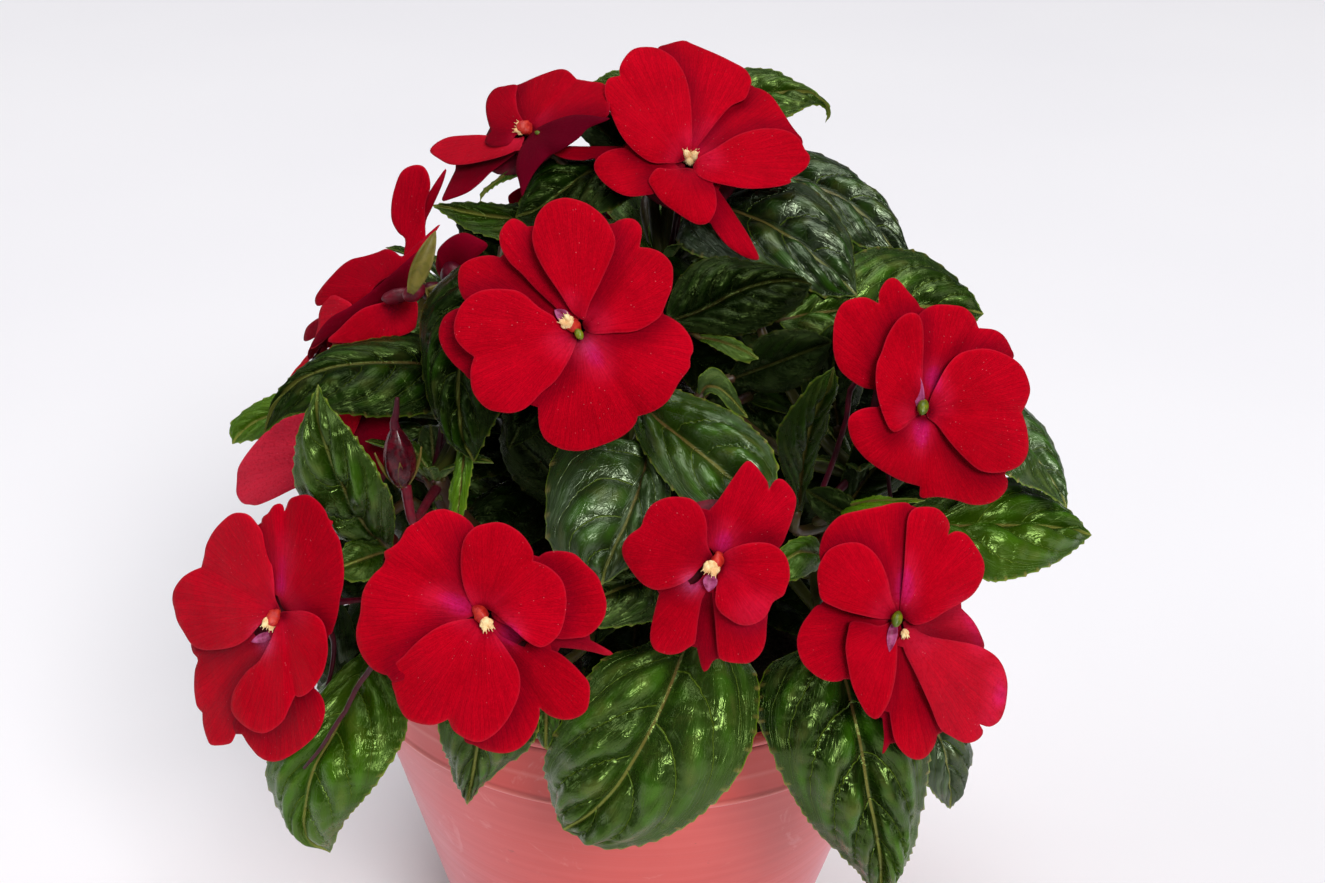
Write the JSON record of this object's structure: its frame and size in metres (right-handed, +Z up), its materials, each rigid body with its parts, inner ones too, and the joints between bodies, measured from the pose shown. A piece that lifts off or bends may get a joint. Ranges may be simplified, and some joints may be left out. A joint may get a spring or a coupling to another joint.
{
  "type": "potted busy lizzie",
  "caption": "Flowering busy lizzie in a tapered plastic grower's pot: branched fleshy stems, toothed quilted leaves and open five-petalled red flowers with thin spurs.",
  "frame": {"origin": "centre of the pot's flat base, on the surface it stands on", "axes": "+Z up along the pot's axis; -Y towards the side the flowers face, where a viewer stands; +X to that viewer's right"},
  "size_m": [0.202, 0.2396, 0.2593],
  "materials": {
    "pot_plastic": "satin moulded terracotta-coloured plastic",
    "soil": "moist crumbly peat and bark",
    "stem_tissue": "smooth fleshy, satin",
    "petal_red": "velvety with fine veins",
    "bud": "smooth, satin",
    "leaf_green": "glossy, quilted between the veins"
  },
  "bodies": {
    "root": {"pot": "pot_plastic", "potting_soil": "soil", "stem_front": "stem_tissue", "stem_front_left": "stem_tissue", "stem_front_right": "stem_tissue", "stem_middle": "stem_tissue", "stem_back": "stem_tissue", "stem_back_left": "stem_tissue", "stem_back_right": "stem_tissue", "flower_1": "petal_red", "flower_2": "petal_red", "flower_3": "petal_red", "flower_4": "petal_red", "flower_5": "petal_red", "flower_6": "petal_red", "flower_7": "petal_red", "flower_8": "petal_red", "flower_9": "petal_red", "flower_10": "petal_red", "flower_11": "petal_red", "flower_12": "petal_red", "flower_13": "petal_red", "flower_14": "petal_red", "flower_bud": "bud", "leaf_1": "leaf_green", "leaf_2": "leaf_green", "leaf_3": "leaf_green", "leaf_4": "leaf_green", "leaf_5": "leaf_green", "leaf_6": "leaf_green", "leaf_7": "leaf_green", "leaf_8": "leaf_green", "leaf_9": "leaf_green", "leaf_10": "leaf_green", "leaf_11": "leaf_green", "leaf_12": "leaf_green", "leaf_13": "leaf_green", "leaf_14": "leaf_green", "leaf_15": "leaf_green", "leaf_16": "leaf_green", "leaf_17": "leaf_green", "leaf_18": "leaf_green", "leaf_19": "leaf_green", "leaf_20": "leaf_green", "leaf_21": "leaf_green", "leaf_22": "leaf_green", "leaf_23": "leaf_green", "leaf_24": "leaf_green", "leaf_25": "leaf_green", "leaf_26": "leaf_green", "leaf_27": "leaf_green", "leaf_28": "leaf_green", "leaf_29": "leaf_green", "leaf_30": "leaf_green", "leaf_31": "leaf_green", "leaf_32": "leaf_green", "leaf_33": "leaf_green", "leaf_34": "leaf_green", "leaf_35": "leaf_green"}
  },
  "joints": []
}
